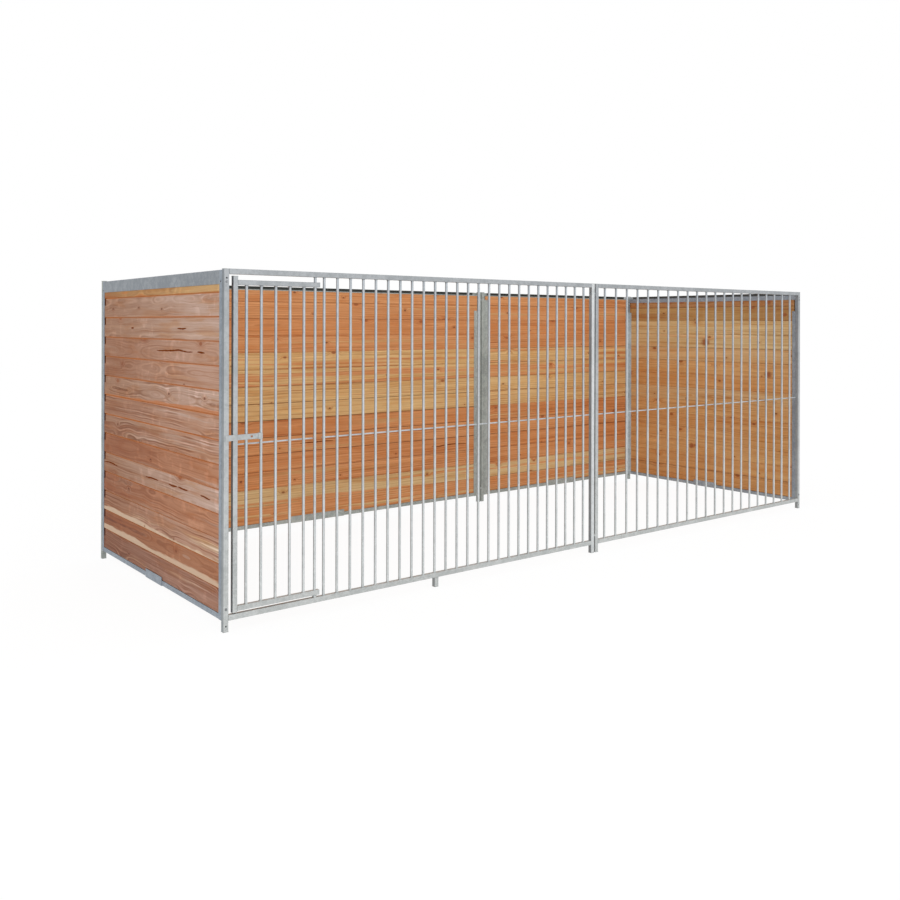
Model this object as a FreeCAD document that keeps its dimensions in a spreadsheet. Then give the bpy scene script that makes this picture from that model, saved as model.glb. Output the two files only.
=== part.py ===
import FreeCAD, Part
import math
import os

import Sketcher

# An open dog kennel made of bolted panels: two barred steel panels at the front, one of them with a door,
# and four walls of stacked boards held in steel channels at the sides and the back.
# The origin is on the floor, under the middle of the kennel.
# +X runs along the front to the right, and +Y to the back.

driving_sizes = {
    # whole kennel
    "width": 5250,
    "depth": 1900,
    "height": 1840,
    "foot_height": 56,
    "door_panel_width": 2710,
    "back_left_width": 3270,
    "seam_gap": 12,
    # square tube of the posts and rails, and its plugs
    "tube": 28,
    "tube_wall": 2,
    "tube_corner": 3,
    "plug_flange": 3,
    "plug_depth": 18,
    "plug_clearance": 0.3,
    # bars and cross rods
    "bar_diameter": 15,
    "rod_diameter": 8,
    "rod_height": 942,
    "rod_overhang": 6,
    "weld_gap": 0.05,
    "door_panel_bar_count": 25,
    "door_panel_first_gap": 56,
    "door_panel_last_gap": 82,
    "bar_panel_bar_count": 21,
    "bar_panel_first_gap": 90,
    "bar_panel_last_gap": 124,
    # door
    "door_tube": 26,
    "stile_gap": 23,
    "leaf_width": 481,
    "door_bar_count": 5,
    "door_first_gap": 66,
    "door_last_gap": 67.5,
    "rail_tail": 24,
    "door_top_gap": 28,
    "door_bottom_gap": 12,
    "stile_top_gap": 8,
    "stile_bottom_gap": 6,
    "stile_cap_height": 4,
    "door_rod_end_gap": 8,
    # hinge on the pivot bar
    "running_clearance": 0.06,
    "bush_wall": 2,
    "bush_flange": 2.5,
    "bush_flange_height": 2,
    "collar_wall": 4,
    "bearing_gap": 0.2,
    # slide bolt, its guide and its keeper
    "latch_height": 980,
    "latch_bar_height": 28,
    "latch_bar_thickness": 4,
    "latch_clearance": 0.6,
    "latch_reach": 187,
    "latch_post_gap": 2.5,
    "latch_point": 5,
    "padlock_hole_diameter": 11,
    "padlock_hole_from_stile": 79,
    "guide_sheet": 1.5,
    "guide_width": 14,
    "keeper_height": 30,
    "keeper_thickness": 4,
    "keeper_start": 6,
    "keeper_overlap": 17,
    # wooden walls
    "sheet": 2,
    "side_channel_flange": 30,
    "back_channel_flange": 48,
    "wall_top_drop": 6,
    "loading_notch": 157,
    "short_notch": 60,
    "top_angle_height": 72,
    "top_hollow": 20,
    "side_strip_height": 37,
    "back_strip_height": 6,
    "board_cover": 126,
    "board_gap": 0.6,
    "board_clearance": 0.5,
    "board_end_gap": 12,
    "board_least_top": 40,
    "board_bevel": 4,
    "tongue_width": 6,
    "tongue_height": 8,
    "groove_clearance": 0.5,
    "clip_height": 50,
    "clip_sheet": 2,
    "clip_clearance": 0.2,
    "side_clip_length": 250,
    "back_left_clip_length": 470,
    "back_right_clip_length": 330,
    # fasteners
    "bolt_diameter": 8,
    "bolt_hole_clearance": 0.4,
    "bolt_head_diameter": 14,
    "bolt_head_height": 4.5,
    "bolt_from_top": 67,
    "bolt_from_bottom": 60,
    "bolt_past_nut": 1.5,
    "nut_across_corners": 15,
    "nut_height": 6.5,
    "nut_clearance": 0.1,
    "spacer_diameter": 20,
    "spare_hole_diameter": 9,
    "spare_hole_from_top": 48,
    "foot_hole_height": 30,
    "flange_hole_diameter": 10,
    "flange_hole_from_top": 59,
}


class Size:
    # A length and the expression that the document keeps for it.
    def __init__(self, value, text=None):
        self.value = value
        self.text = text or f"{value}"

    def joined(self, sign, other, value):
        other = as_size(other)
        return Size(value, f"({self.text} {sign} {other.text})")

    def __add__(self, other):
        return self.joined("+", other, self.value + as_size(other).value)

    def __sub__(self, other):
        return self.joined("-", other, self.value - as_size(other).value)

    def __mul__(self, other):
        return self.joined("*", other, self.value * as_size(other).value)

    def __truediv__(self, other):
        return self.joined("/", other, self.value / as_size(other).value)

    def __neg__(self):
        return Size(-self.value, f"(0 - {self.text})")


def as_size(number):
    return number if isinstance(number, Size) else Size(number)


def whole(size):
    return Size(math.floor(size.value), f"floor({size.text})")


class Sizes:
    def __init__(self, values):
        for alias, value in values.items():
            setattr(self, alias, Size(value, f"sizes.{alias}"))


doc = FreeCAD.newDocument("dog_kennel")
sheet = doc.addObject("Spreadsheet::Sheet", "sizes")
for row, (alias, value) in enumerate(driving_sizes.items(), start=1):
    sheet.set(f"A{row}", str(value))
    sheet.setAlias(f"A{row}", alias)
doc.recompute()

d = Sizes(driving_sizes)
zero = Size(0)
nodes = []


# Drawing and building

def bind(target, **sizes):
    for path, size in sizes.items():
        target.setExpression(path, as_size(size).text)


def place(target, x, y, z, turn=0, axis=(0, 0, 1)):
    target.Placement = FreeCAD.Placement(
        FreeCAD.Vector(0, 0, 0), FreeCAD.Rotation(FreeCAD.Vector(*axis), turn)
    )
    for letter, size in zip("xyz", (x, y, z)):
        target.setExpression(f"Placement.Base.{letter}", as_size(size).text)


def new_body(label):
    body = doc.addObject("PartDesign::Body", label)
    body.AllowCompound = True
    return body


def origin_part(body, role):
    return next(part for part in body.Origin.OriginFeatures if part.Role == role)


def new_sketch(body, role, offset=None):
    sketch = body.newObject("Sketcher::SketchObject", f"{body.Name}_sketch")
    sketch.AttachmentSupport = (origin_part(body, role), "")
    sketch.MapMode = "FlatFace"
    if offset is not None:
        sketch.setExpression("AttachmentOffset.Base.z", offset.text)
    return sketch


def pin_point(sketch, geometry, vertex, point):
    for kind, size in zip(("DistanceX", "DistanceY"), point):
        size = as_size(size)
        constraint = Sketcher.Constraint(kind, -1, 1, geometry, vertex, size.value)
        index = sketch.addConstraint(constraint)
        sketch.setExpression(f"Constraints[{index}]", size.text)


def polygon(sketch, corners):
    first = sketch.GeometryCount
    count = len(corners)
    points = [FreeCAD.Vector(as_size(x).value, as_size(y).value, 0) for x, y in corners]
    for index in range(count):
        sketch.addGeometry(Part.LineSegment(points[index], points[(index + 1) % count]))
    for index in range(count):
        following = first + (index + 1) % count
        sketch.addConstraint(Sketcher.Constraint("Coincident", first + index, 2, following, 1))
    for index in range(count):
        pin_point(sketch, first + index, 1, corners[index])


def rectangle(sketch, low, high):
    polygon(sketch, [low, (high[0], low[1]), high, (low[0], high[1])])


def circle(sketch, centre, diameter):
    place_of = FreeCAD.Vector(as_size(centre[0]).value, as_size(centre[1]).value, 0)
    radius = diameter / 2
    index = sketch.addGeometry(Part.Circle(place_of, FreeCAD.Vector(0, 0, 1), radius.value))
    pin_point(sketch, index, 3, centre)
    constraint = sketch.addConstraint(Sketcher.Constraint("Radius", index, radius.value))
    sketch.setExpression(f"Constraints[{constraint}]", radius.text)


def new_pad(body, sketch, length):
    pad = body.newObject("PartDesign::Pad", f"{body.Name}_pad")
    pad.Profile = sketch
    pad.Reversed = sketch.AttachmentSupport[0][0].Role == "XZ_Plane"
    bind(pad, Length=length)
    body.Tip = pad
    return pad


def new_pattern(body, feature, role, count, pitch):
    pattern = body.newObject("PartDesign::LinearPattern", f"{body.Name}_pattern")
    pattern.Originals = [feature]
    pattern.Direction = (origin_part(body, role), "")
    pattern.Mode = "Spacing"
    bind(pattern, Occurrences=count, Offset=pitch)
    body.Tip = pattern


def drill(body, role, centres, diameter, depth=None):
    sketch = new_sketch(body, role)
    for centre in centres:
        circle(sketch, centre, diameter)
    pocket = body.newObject("PartDesign::Pocket", f"{body.Name}_holes")
    pocket.Profile = sketch
    if depth is None:
        pocket.Type = "ThroughAll"
        pocket.Midplane = True
    else:
        bind(pocket, Length=depth)
    body.Tip = pocket


def round_long_edges(body, pad, radius):
    doc.recompute()
    names = []
    for index, edge in enumerate(pad.Shape.Edges, start=1):
        along_pad = abs(edge.Length - pad.Length.Value) < 0.001
        middle = edge.CenterOfMass
        box = pad.Shape.BoundBox
        faces_out = sum(
            min(abs(value - low), abs(value - high)) < 0.001
            for value, low, high in (
                (middle.x, box.XMin, box.XMax),
                (middle.y, box.YMin, box.YMax),
                (middle.z, box.ZMin, box.ZMax),
            )
        )
        if along_pad and faces_out >= 2:
            names.append(f"Edge{index}")
    fillet = body.newObject("PartDesign::Fillet", f"{body.Name}_corners")
    fillet.Base = (pad, names)
    bind(fillet, Radius=radius)
    body.Tip = fillet


def keep(node, label):
    node.Label = label
    nodes.append(node)
    return node


def solid_box(name, size, at):
    box = doc.addObject("Part::Box", name)
    bind(box, Length=size[0], Width=size[1], Height=size[2])
    place(box, *at)
    return box


def solid_cylinder(name, diameter, length, at, axis="z"):
    cylinder = doc.addObject("Part::Cylinder", name)
    bind(cylinder, Radius=diameter / 2, Height=length)
    turns = {"z": (0, (0, 0, 1)), "x": (90, (0, 1, 0)), "y": (-90, (1, 0, 0)), "-y": (90, (1, 0, 0))}
    place(cylinder, *at, *turns[axis])
    return cylinder


def boolean(kind, name, base, tool):
    result = doc.addObject(kind, name)
    result.Base = base
    result.Tool = tool
    return result


def group(label, members):
    compound = doc.addObject("Part::Compound", label)
    compound.Links = members
    return keep(compound, label)


# Square tubes: the pad runs along X or Z, and the outline's low corner is the body's own origin

def new_tube(label, along, side, length):
    body = new_body(label)
    sketch = new_sketch(body, {"x": "YZ_Plane", "z": "XY_Plane"}[along])
    inner = side - d.tube_wall
    rectangle(sketch, (zero, zero), (side, side))
    rectangle(sketch, (d.tube_wall, d.tube_wall), (inner, inner))
    pad = new_pad(body, sketch, length)
    round_long_edges(body, pad, d.tube_corner)
    return keep(body, label)


def square_tube(label, along, side, length, at):
    body = new_tube(label, along, side, length)
    place(body, *at)
    return body


# Places that several pieces share

clip_reach = d.clip_sheet + d.clip_clearance
left_x = -d.width / 2
right_x = d.width / 2
front_y = -d.depth / 2
back_y = front_y + d.depth
front_middle_y = front_y + d.tube / 2
seam_x = left_x + d.door_panel_width
bar_panel_x = seam_x + d.seam_gap
back_seam_x = left_x + d.back_left_width
back_right_x = back_seam_x + d.seam_gap
rail_top_z = d.foot_height + d.tube
top_rail_z = d.height - d.tube
post_z = d.plug_flange
post_length = d.height - d.plug_flange * 2
top_bolt_z = d.height - d.bolt_from_top
bottom_bolt_z = d.foot_height + d.bolt_from_bottom
bolt_levels = (top_bolt_z, bottom_bolt_z)
spare_hole_z = d.height - d.spare_hole_from_top
bolt_hole = d.bolt_diameter + d.bolt_hole_clearance * 2
bar_length = top_rail_z - rail_top_z
rod_y = front_middle_y + d.bar_diameter / 2 + d.weld_gap


# Posts and rails of the front panels and the back

def post(label, x, y, bolts_along, spare_holes=False):
    body = square_tube(label, "z", d.tube, post_length, (x, y, post_z))
    role = {"x": "YZ_Plane", "y": "XZ_Plane"}[bolts_along]
    middle = d.tube / 2
    drill(body, role, [(middle, level - post_z) for level in bolt_levels], bolt_hole)
    if spare_holes:
        levels = (spare_hole_z, d.foot_hole_height)
        drill(body, role, [(middle, level - post_z) for level in levels], d.spare_hole_diameter)
    return body


def rails(name, x, width):
    length = width - d.tube * 2
    for label, z in (("top_rail", top_rail_z), ("bottom_rail", d.foot_height)):
        square_tube(f"{name}_{label}", "x", d.tube, length, (x + d.tube, front_y, z))


def bars(label, count, first_x, last_x, y, low_z, length):
    body = new_body(label)
    sketch = new_sketch(body, "XY_Plane")
    circle(sketch, (zero, zero), d.bar_diameter)
    pad = new_pad(body, sketch, length)
    new_pattern(body, pad, "X_Axis", count, (last_x - first_x) / (count - 1))
    place(body, first_x, y, low_z)
    return keep(body, label)


def cross_rod(label, start_x, end_x, y):
    at = (start_x, y + d.rod_diameter / 2, d.rod_height)
    rod = solid_cylinder(label, d.rod_diameter, end_x - start_x, at, "x")
    return keep(rod, label)


# Front panel with the doorway

stile_x = left_x + d.tube + d.stile_gap
pivot_x = stile_x + d.leaf_width
first_bar_x = pivot_x + d.door_panel_first_gap

left_post = post("door_panel_left_post", left_x, front_y, "y", spare_holes=True)
post("door_panel_right_post", seam_x - d.tube, front_y, "x")
rails("door_panel", left_x, d.door_panel_width)
bars(
    "door_panel_bars",
    d.door_panel_bar_count,
    first_bar_x,
    seam_x - d.tube / 2 - d.door_panel_last_gap,
    front_middle_y,
    rail_top_z,
    bar_length,
)
cross_rod("door_panel_rod", first_bar_x - d.rod_overhang, seam_x - d.tube, rod_y)

mid_foot_x = left_x + d.door_panel_width / 2 - d.tube / 2
square_tube(
    "door_panel_mid_foot", "z", d.tube, d.foot_height - post_z, (mid_foot_x, front_y, post_z)
)

# Front panel without a door

bar_panel_width = right_x - bar_panel_x
post("bar_panel_left_post", bar_panel_x, front_y, "x")
post("bar_panel_right_post", right_x - d.tube, front_y, "y", spare_holes=True)
rails("bar_panel", bar_panel_x, bar_panel_width)
bars(
    "bar_panel_bars",
    d.bar_panel_bar_count,
    bar_panel_x + d.tube / 2 + d.bar_panel_first_gap,
    right_x - d.tube / 2 - d.bar_panel_last_gap,
    front_middle_y,
    rail_top_z,
    bar_length,
)
cross_rod("bar_panel_rod", bar_panel_x + d.tube, right_x - d.tube, rod_y)

# Pivot bar between the rails, and the collar that carries the door

keep(
    solid_cylinder("pivot_bar", d.bar_diameter, bar_length, (pivot_x, front_middle_y, rail_top_z)),
    "pivot_bar",
)
door_low_z = rail_top_z + d.door_bottom_gap
collar_height = d.door_bottom_gap - d.bush_flange_height - d.bearing_gap
pivot_bore = d.bar_diameter + d.running_clearance * 2
collar_at = (pivot_x, front_middle_y, rail_top_z)
collar_outside = solid_cylinder(
    "collar_outside", d.bar_diameter + d.collar_wall * 2, collar_height, collar_at
)
collar_bore = solid_cylinder("collar_bore", pivot_bore, collar_height, collar_at)
keep(boolean("Part::Cut", "pivot_collar", collar_outside, collar_bore), "pivot_collar")

# Door leaf: stile, rails that run past the pivot, bars, cross rod, cap and bushes

door_y = front_middle_y - d.door_tube / 2
door_top_z = top_rail_z - d.door_top_gap - d.door_tube
stile_low_z = rail_top_z + d.stile_bottom_gap
stile_top_z = top_rail_z - d.stile_top_gap - d.stile_cap_height
stile_right_x = stile_x + d.door_tube
latch_y = door_y + d.tube_wall + d.latch_clearance
door_bar_y = latch_y + d.latch_bar_thickness + d.latch_clearance + d.bar_diameter / 2
stile_middle_x = stile_x + d.door_tube / 2
second_bar_x = stile_middle_x + d.door_first_gap + (
    pivot_x - d.door_last_gap - stile_middle_x - d.door_first_gap
) / (d.door_bar_count - 1)

stile = square_tube(
    "door_stile", "z", d.door_tube, stile_top_z - stile_low_z, (stile_x, door_y, stile_low_z)
)
bush_outside = pivot_bore + d.bush_wall * 2
door_rail_length = pivot_x + d.rail_tail - stile_right_x
for rail_label, rail_z in (("door_top_rail", door_top_z), ("door_bottom_rail", door_low_z)):
    rail = square_tube(
        rail_label, "x", d.door_tube, door_rail_length, (stile_right_x, door_y, rail_z)
    )
    drill(rail, "XY_Plane", [(pivot_x - stile_right_x, d.door_tube / 2)], bush_outside)

door_bar_z = door_low_z + d.door_tube
bars(
    "door_bars",
    d.door_bar_count,
    stile_middle_x + d.door_first_gap,
    pivot_x - d.door_last_gap,
    door_bar_y,
    door_bar_z,
    door_top_z - door_bar_z,
)
cross_rod(
    "door_rod",
    stile_right_x,
    pivot_x - d.door_rod_end_gap,
    door_bar_y + d.bar_diameter / 2 + d.weld_gap,
)
keep(
    solid_box(
        "door_stile_cap",
        (d.door_tube, d.door_tube, d.stile_cap_height),
        (stile_x, door_y, stile_top_z),
    ),
    "door_stile_cap",
)


def bush(name, rail_z):
    low_z = rail_z - d.bush_flange_height
    length = d.door_tube + d.bush_flange_height
    middle = (pivot_x, front_middle_y)
    sleeve = solid_cylinder(f"{name}_sleeve", bush_outside, length, (*middle, low_z))
    flange_diameter = bush_outside + d.bush_flange * 2
    flange = solid_cylinder(f"{name}_flange", flange_diameter, d.bush_flange_height, (*middle, low_z))
    bore = solid_cylinder(f"{name}_bore", pivot_bore, length, (*middle, low_z))
    return boolean("Part::Cut", name, boolean("Part::Fuse", f"{name}_outside", sleeve, flange), bore)


group("door_bushes", [bush("upper_bush", door_top_z), bush("lower_bush", door_low_z)])

# Slide bolt through the stile, its socket in the post, its guide and the keeper strap

latch_low_z = d.latch_height - d.latch_bar_height / 2
latch_x = left_x + d.tube + d.latch_post_gap


def slide_bolt():
    body = new_body("slide_bolt")
    sketch = new_sketch(body, "XZ_Plane")
    polygon(
        sketch,
        [
            (d.latch_point, zero),
            (d.latch_reach, zero),
            (d.latch_reach, d.latch_bar_height),
            (d.latch_point, d.latch_bar_height),
            (zero, d.latch_bar_height - d.latch_point),
            (zero, d.latch_point),
        ],
    )
    hole_x = stile_right_x + d.padlock_hole_from_stile - latch_x
    circle(sketch, (hole_x, d.latch_bar_height / 2), d.padlock_hole_diameter)
    new_pad(body, sketch, d.latch_bar_thickness)
    place(body, latch_x, latch_y, latch_low_z)
    keep(body, "slide_bolt")


def latch_slot(body, body_y, body_z, plane_x, depth):
    sketch = new_sketch(body, "YZ_Plane", plane_x)
    gap = d.latch_clearance
    low = (latch_y - body_y - gap, latch_low_z - body_z - gap)
    high_y = latch_y + d.latch_bar_thickness - body_y + gap
    rectangle(sketch, low, (high_y, latch_low_z + d.latch_bar_height - body_z + gap))
    pocket = body.newObject("PartDesign::Pocket", f"{body.Name}_slot")
    pocket.Profile = sketch
    bind(pocket, Length=depth)
    body.Tip = pocket


slide_bolt()
latch_slot(left_post, front_y, post_z, d.tube, d.tube_wall * 2)
latch_slot(stile, door_y, stile_low_z, d.door_tube, d.door_tube)

guide_right_x = second_bar_x - d.bar_diameter / 2 - d.weld_gap
guide_body = new_body("bolt_guide")
guide_sketch = new_sketch(guide_body, "YZ_Plane")
guide_depth = door_bar_y - latch_y + d.latch_clearance + d.guide_sheet
guide_height = d.latch_bar_height + (d.latch_clearance + d.guide_sheet) * 2
guide_inner_top = guide_height - d.guide_sheet
polygon(
    guide_sketch,
    [
        (zero, zero),
        (guide_depth, zero),
        (guide_depth, d.guide_sheet),
        (d.guide_sheet, d.guide_sheet),
        (d.guide_sheet, guide_inner_top),
        (guide_depth, guide_inner_top),
        (guide_depth, guide_height),
        (zero, guide_height),
    ],
)
new_pad(guide_body, guide_sketch, d.guide_width)
guide_gap = d.latch_clearance + d.guide_sheet
place(guide_body, guide_right_x - d.guide_width, latch_y - guide_gap, latch_low_z - guide_gap)
keep(guide_body, "bolt_guide")

keeper_x = left_x + d.keeper_start
keep(
    solid_box(
        "keeper_strap",
        (stile_x + d.keeper_overlap - keeper_x, d.keeper_thickness, d.keeper_height),
        (keeper_x, front_y - d.keeper_thickness, d.latch_height - d.keeper_height / 2),
    ),
    "keeper_strap",
)

# Wooden walls. Each is drawn along its own u axis, with w from its outer to its inner face, and then turned.

wall_top_z = d.height - d.wall_top_drop
wall_height = wall_top_z - d.foot_height
board_low_z = rail_top_z
board_stack = wall_top_z - d.sheet - d.top_hollow - board_low_z
full_boards = whole((board_stack - d.board_least_top) / d.board_cover)
board_thickness = d.tube - (d.sheet + d.board_clearance) * 2

turned_axes = {
    -90: ((0, -1), (1, 0)),
    90: ((0, 1), (-1, 0)),
    180: ((-1, 0), (0, -1)),
}


class Wall:
    def __init__(self, name, ends, flange, turn, base_x, base_y, length, strip_height, clip_length):
        self.name = name
        self.ends = ends
        self.flange = flange
        self.turn = turn
        self.base = (base_x, base_y)
        self.length = length
        self.strip_height = strip_height
        self.clip_length = clip_length

    def place(self, target, u, w, z):
        along, across = turned_axes[self.turn]
        x, y = (
            base + as_size(u) * along[axis] + as_size(w) * across[axis]
            for axis, base in enumerate(self.base)
        )
        place(target, x, y, z, self.turn)


def end_channel(wall, label, notch, at_start):
    body = new_body(f"{wall.name}_{label}")
    flange = wall.flange
    inner_w = d.tube - d.sheet
    web_side = flange - d.sheet
    if at_start:
        outline = [
            (zero, zero), (flange, zero), (flange, d.sheet),
            (d.sheet, d.sheet), (d.sheet, d.tube), (zero, d.tube),
        ]
        inner_flange = ((d.sheet, inner_w), (flange, d.tube))
        u = zero
    else:
        outline = [
            (zero, zero), (flange, zero), (flange, d.tube),
            (web_side, d.tube), (web_side, d.sheet), (zero, d.sheet),
        ]
        inner_flange = ((zero, inner_w), (web_side, d.tube))
        u = wall.length - flange
    full_sketch = new_sketch(body, "XY_Plane")
    polygon(full_sketch, outline)
    new_pad(body, full_sketch, wall_height)
    short_sketch = new_sketch(body, "XY_Plane")
    rectangle(short_sketch, *inner_flange)
    new_pad(body, short_sketch, wall_height - notch)
    bolted = [(d.tube / 2, level - d.foot_height) for level in bolt_levels]
    drill(body, "YZ_Plane", bolted, bolt_hole)
    drill(body, "YZ_Plane", [(d.tube / 2, spare_hole_z - d.foot_height)], d.spare_hole_diameter)
    flange_hole = (flange / 2, wall_height - d.flange_hole_from_top)
    drill(body, "XZ_Plane", [flange_hole], d.flange_hole_diameter)
    wall.place(body, u, zero, d.foot_height)
    keep(body, f"{wall.name}_{label}")


def long_profile(wall, label, corners, start_u, length, w, z):
    body = new_body(f"{wall.name}_{label}")
    sketch = new_sketch(body, "YZ_Plane")
    polygon(sketch, corners)
    new_pad(body, sketch, length)
    wall.place(body, start_u, w, z)
    keep(body, f"{wall.name}_{label}")


def u_profile(width, height, thickness):
    inner = width - thickness
    return [
        (zero, zero), (width, zero), (width, height), (inner, height),
        (inner, thickness), (thickness, thickness), (thickness, height), (zero, height),
    ]


def steel_of(wall):
    between = wall.length - wall.flange * 2
    angle_web = d.top_angle_height - d.sheet
    for (label, notch), at_start in zip(wall.ends.items(), (True, False)):
        end_channel(wall, label, notch, at_start)
    long_profile(
        wall,
        "top_angle",
        [
            (zero, zero), (d.sheet, zero), (d.sheet, angle_web),
            (d.tube, angle_web), (d.tube, d.top_angle_height), (zero, d.top_angle_height),
        ],
        wall.flange,
        between,
        zero,
        wall_top_z - d.top_angle_height,
    )
    strip = doc.addObject("Part::Box", f"{wall.name}_top_strip")
    bind(strip, Length=wall.length - d.sheet * 2, Width=d.sheet, Height=wall.strip_height)
    strip_z = board_low_z + board_stack - wall.strip_height
    wall.place(strip, d.sheet, d.tube - d.sheet, strip_z)
    keep(strip, f"{wall.name}_top_strip")
    rail = new_tube(f"{wall.name}_bottom_rail", "x", d.tube, between)
    wall.place(rail, wall.flange, zero, d.foot_height)
    clip = u_profile(d.tube + clip_reach * 2, d.clip_height, d.clip_sheet)
    clip_u = (wall.length - wall.clip_length) / 2
    clip_z = d.foot_height - clip_reach
    long_profile(wall, "bottom_clip", clip, clip_u, wall.clip_length, -clip_reach, clip_z)


def board_outline(low_z, face_height, with_tongue):
    bevel = d.board_bevel
    thick = board_thickness
    groove_half = d.tongue_width / 2 + d.groove_clearance
    groove_z = low_z + d.tongue_height + d.groove_clearance * 2
    top_z = low_z + face_height
    outline = [
        (bevel, low_z), (thick / 2 - groove_half, low_z),
        (thick / 2 - groove_half, groove_z), (thick / 2 + groove_half, groove_z),
        (thick / 2 + groove_half, low_z), (thick - bevel, low_z),
        (thick, low_z + bevel), (thick, top_z - bevel), (thick - bevel, top_z),
    ]
    if with_tongue:
        tongue_half = d.tongue_width / 2
        tongue_z = top_z + d.tongue_height
        outline += [
            (thick / 2 + tongue_half, top_z), (thick / 2 + tongue_half, tongue_z),
            (thick / 2 - tongue_half, tongue_z), (thick / 2 - tongue_half, top_z),
        ]
    return outline + [(bevel, top_z), (zero, top_z - bevel), (zero, low_z + bevel)]


def boards_of(wall):
    body = new_body(f"{wall.name}_boards")
    end_u = d.sheet + d.board_end_gap
    length = wall.length - end_u * 2
    course = new_sketch(body, "YZ_Plane")
    polygon(course, board_outline(zero, d.board_cover - d.board_gap, True))
    pad = new_pad(body, course, length)
    new_pattern(body, pad, "Z_Axis", full_boards, d.board_cover)
    top_course = new_sketch(body, "YZ_Plane")
    top_low_z = full_boards * d.board_cover
    polygon(top_course, board_outline(top_low_z, board_stack - top_low_z, False))
    new_pad(body, top_course, length)
    wall.place(body, end_u, d.sheet + d.board_clearance, board_low_z)
    keep(body, f"{wall.name}_boards")


side_length = d.depth - d.tube * 2
walls = [
    Wall(
        "left_wall", {"back_channel": d.loading_notch, "front_channel": d.loading_notch},
        d.side_channel_flange, -90,
        left_x, back_y - d.tube, side_length, d.side_strip_height, d.side_clip_length,
    ),
    Wall(
        "right_wall", {"front_channel": d.loading_notch, "back_channel": d.loading_notch},
        d.side_channel_flange, 90,
        right_x, front_y + d.tube, side_length, d.side_strip_height, d.side_clip_length,
    ),
    Wall(
        "back_left_wall", {"right_channel": d.loading_notch, "left_channel": d.loading_notch},
        d.back_channel_flange, 180,
        back_seam_x - d.tube, back_y, d.back_left_width - d.tube * 2,
        d.back_strip_height, d.back_left_clip_length,
    ),
    Wall(
        "back_right_wall", {"right_channel": d.loading_notch, "left_channel": d.short_notch},
        d.back_channel_flange, 180,
        right_x - d.tube, back_y, right_x - back_right_x - d.tube * 2,
        d.back_strip_height, d.back_right_clip_length,
    ),
]
for wall in walls:
    steel_of(wall)
    boards_of(wall)

# Posts of the back: two at the corners and two at the seam

back_post_y = back_y - d.tube


def post_pair(label, places, bolts_along):
    members = [post(f"{label}_{side}", x, back_post_y, bolts_along) for side, x in places]
    for member in members:
        nodes.remove(member)
        if bolts_along == "x":
            # a hole in the wall that faces the inside of the kennel, and not in the wall behind it
            spare = [(d.tube / 2, spare_hole_z - post_z)]
            drill(member, "XZ_Plane", spare, d.spare_hole_diameter, d.tube_wall * 2)
    group(label, members)


post_pair("back_corner_posts", (("left", left_x), ("right", right_x - d.tube)), "y")
post_pair("back_seam_posts", (("left", back_seam_x - d.tube), ("right", back_right_x)), "x")

# Plugs in the ends of the posts

plug_side = d.tube - (d.tube_wall + d.plug_clearance) * 2
front_post_x = (left_x, seam_x - d.tube, bar_panel_x, right_x - d.tube)
back_post_x = (left_x, back_seam_x - d.tube, back_right_x, right_x - d.tube)
post_places = [(x, front_y) for x in front_post_x] + [(x, back_post_y) for x in back_post_x]


def plug(name, x, y, flange_z, insert_z):
    inset = d.tube_wall + d.plug_clearance
    flange = solid_box(f"{name}_flange", (d.tube, d.tube, d.plug_flange), (x, y, flange_z))
    insert_size = (plug_side, plug_side, d.plug_depth)
    insert = solid_box(f"{name}_insert", insert_size, (x + inset, y + inset, insert_z))
    return boolean("Part::Fuse", name, flange, insert)


top_flange_z = d.height - d.plug_flange
group(
    "top_plugs",
    [
        plug(f"top_plug_{index}", x, y, top_flange_z, top_flange_z - d.plug_depth)
        for index, (x, y) in enumerate(post_places, start=1)
    ],
)
group(
    "foot_plugs",
    [
        plug(f"foot_plug_{index}", x, y, zero, d.plug_flange)
        for index, (x, y) in enumerate([*post_places, (mid_foot_x, front_y)], start=1)
    ],
)

# Bolts, nuts and spacers at the corners and the seams

bolt_names = []
nut_names = []
spacer_names = []


def bolt(name, grip, at, axis):
    length = grip + d.nut_height + d.bolt_past_nut
    shank = solid_cylinder(f"{name}_shank", d.bolt_diameter, length, at, axis)
    head = doc.addObject("Part::Cone", f"{name}_head")
    bind(head, Radius1=d.bolt_head_diameter / 2, Radius2=d.bolt_head_diameter / 3)
    bind(head, Height=d.bolt_head_height)
    turns = {"x": (-90, (0, 1, 0)), "y": (90, (1, 0, 0)), "-y": (-90, (1, 0, 0))}
    place(head, *at, *turns[axis])
    bolt_names.append(boolean("Part::Fuse", name, shank, head))


def nut(name, at, axis):
    prism = doc.addObject("Part::Prism", f"{name}_hexagon")
    prism.Polygon = 6
    bind(prism, Circumradius=d.nut_across_corners / 2, Height=d.nut_height)
    turns = {"x": (90, (0, 1, 0)), "y": (-90, (1, 0, 0)), "-y": (90, (1, 0, 0))}
    place(prism, *at, *turns[axis])
    bore = solid_cylinder(
        f"{name}_bore", d.bolt_diameter + d.nut_clearance * 2, d.nut_height, at, axis
    )
    nut_names.append(boolean("Part::Cut", name, prism, bore))


def spacer(name, at):
    outside = solid_cylinder(f"{name}_outside", d.spacer_diameter, d.seam_gap, at, "x")
    bore = solid_cylinder(f"{name}_bore", bolt_hole, d.seam_gap, at, "x")
    spacer_names.append(boolean("Part::Cut", name, outside, bore))


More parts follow.
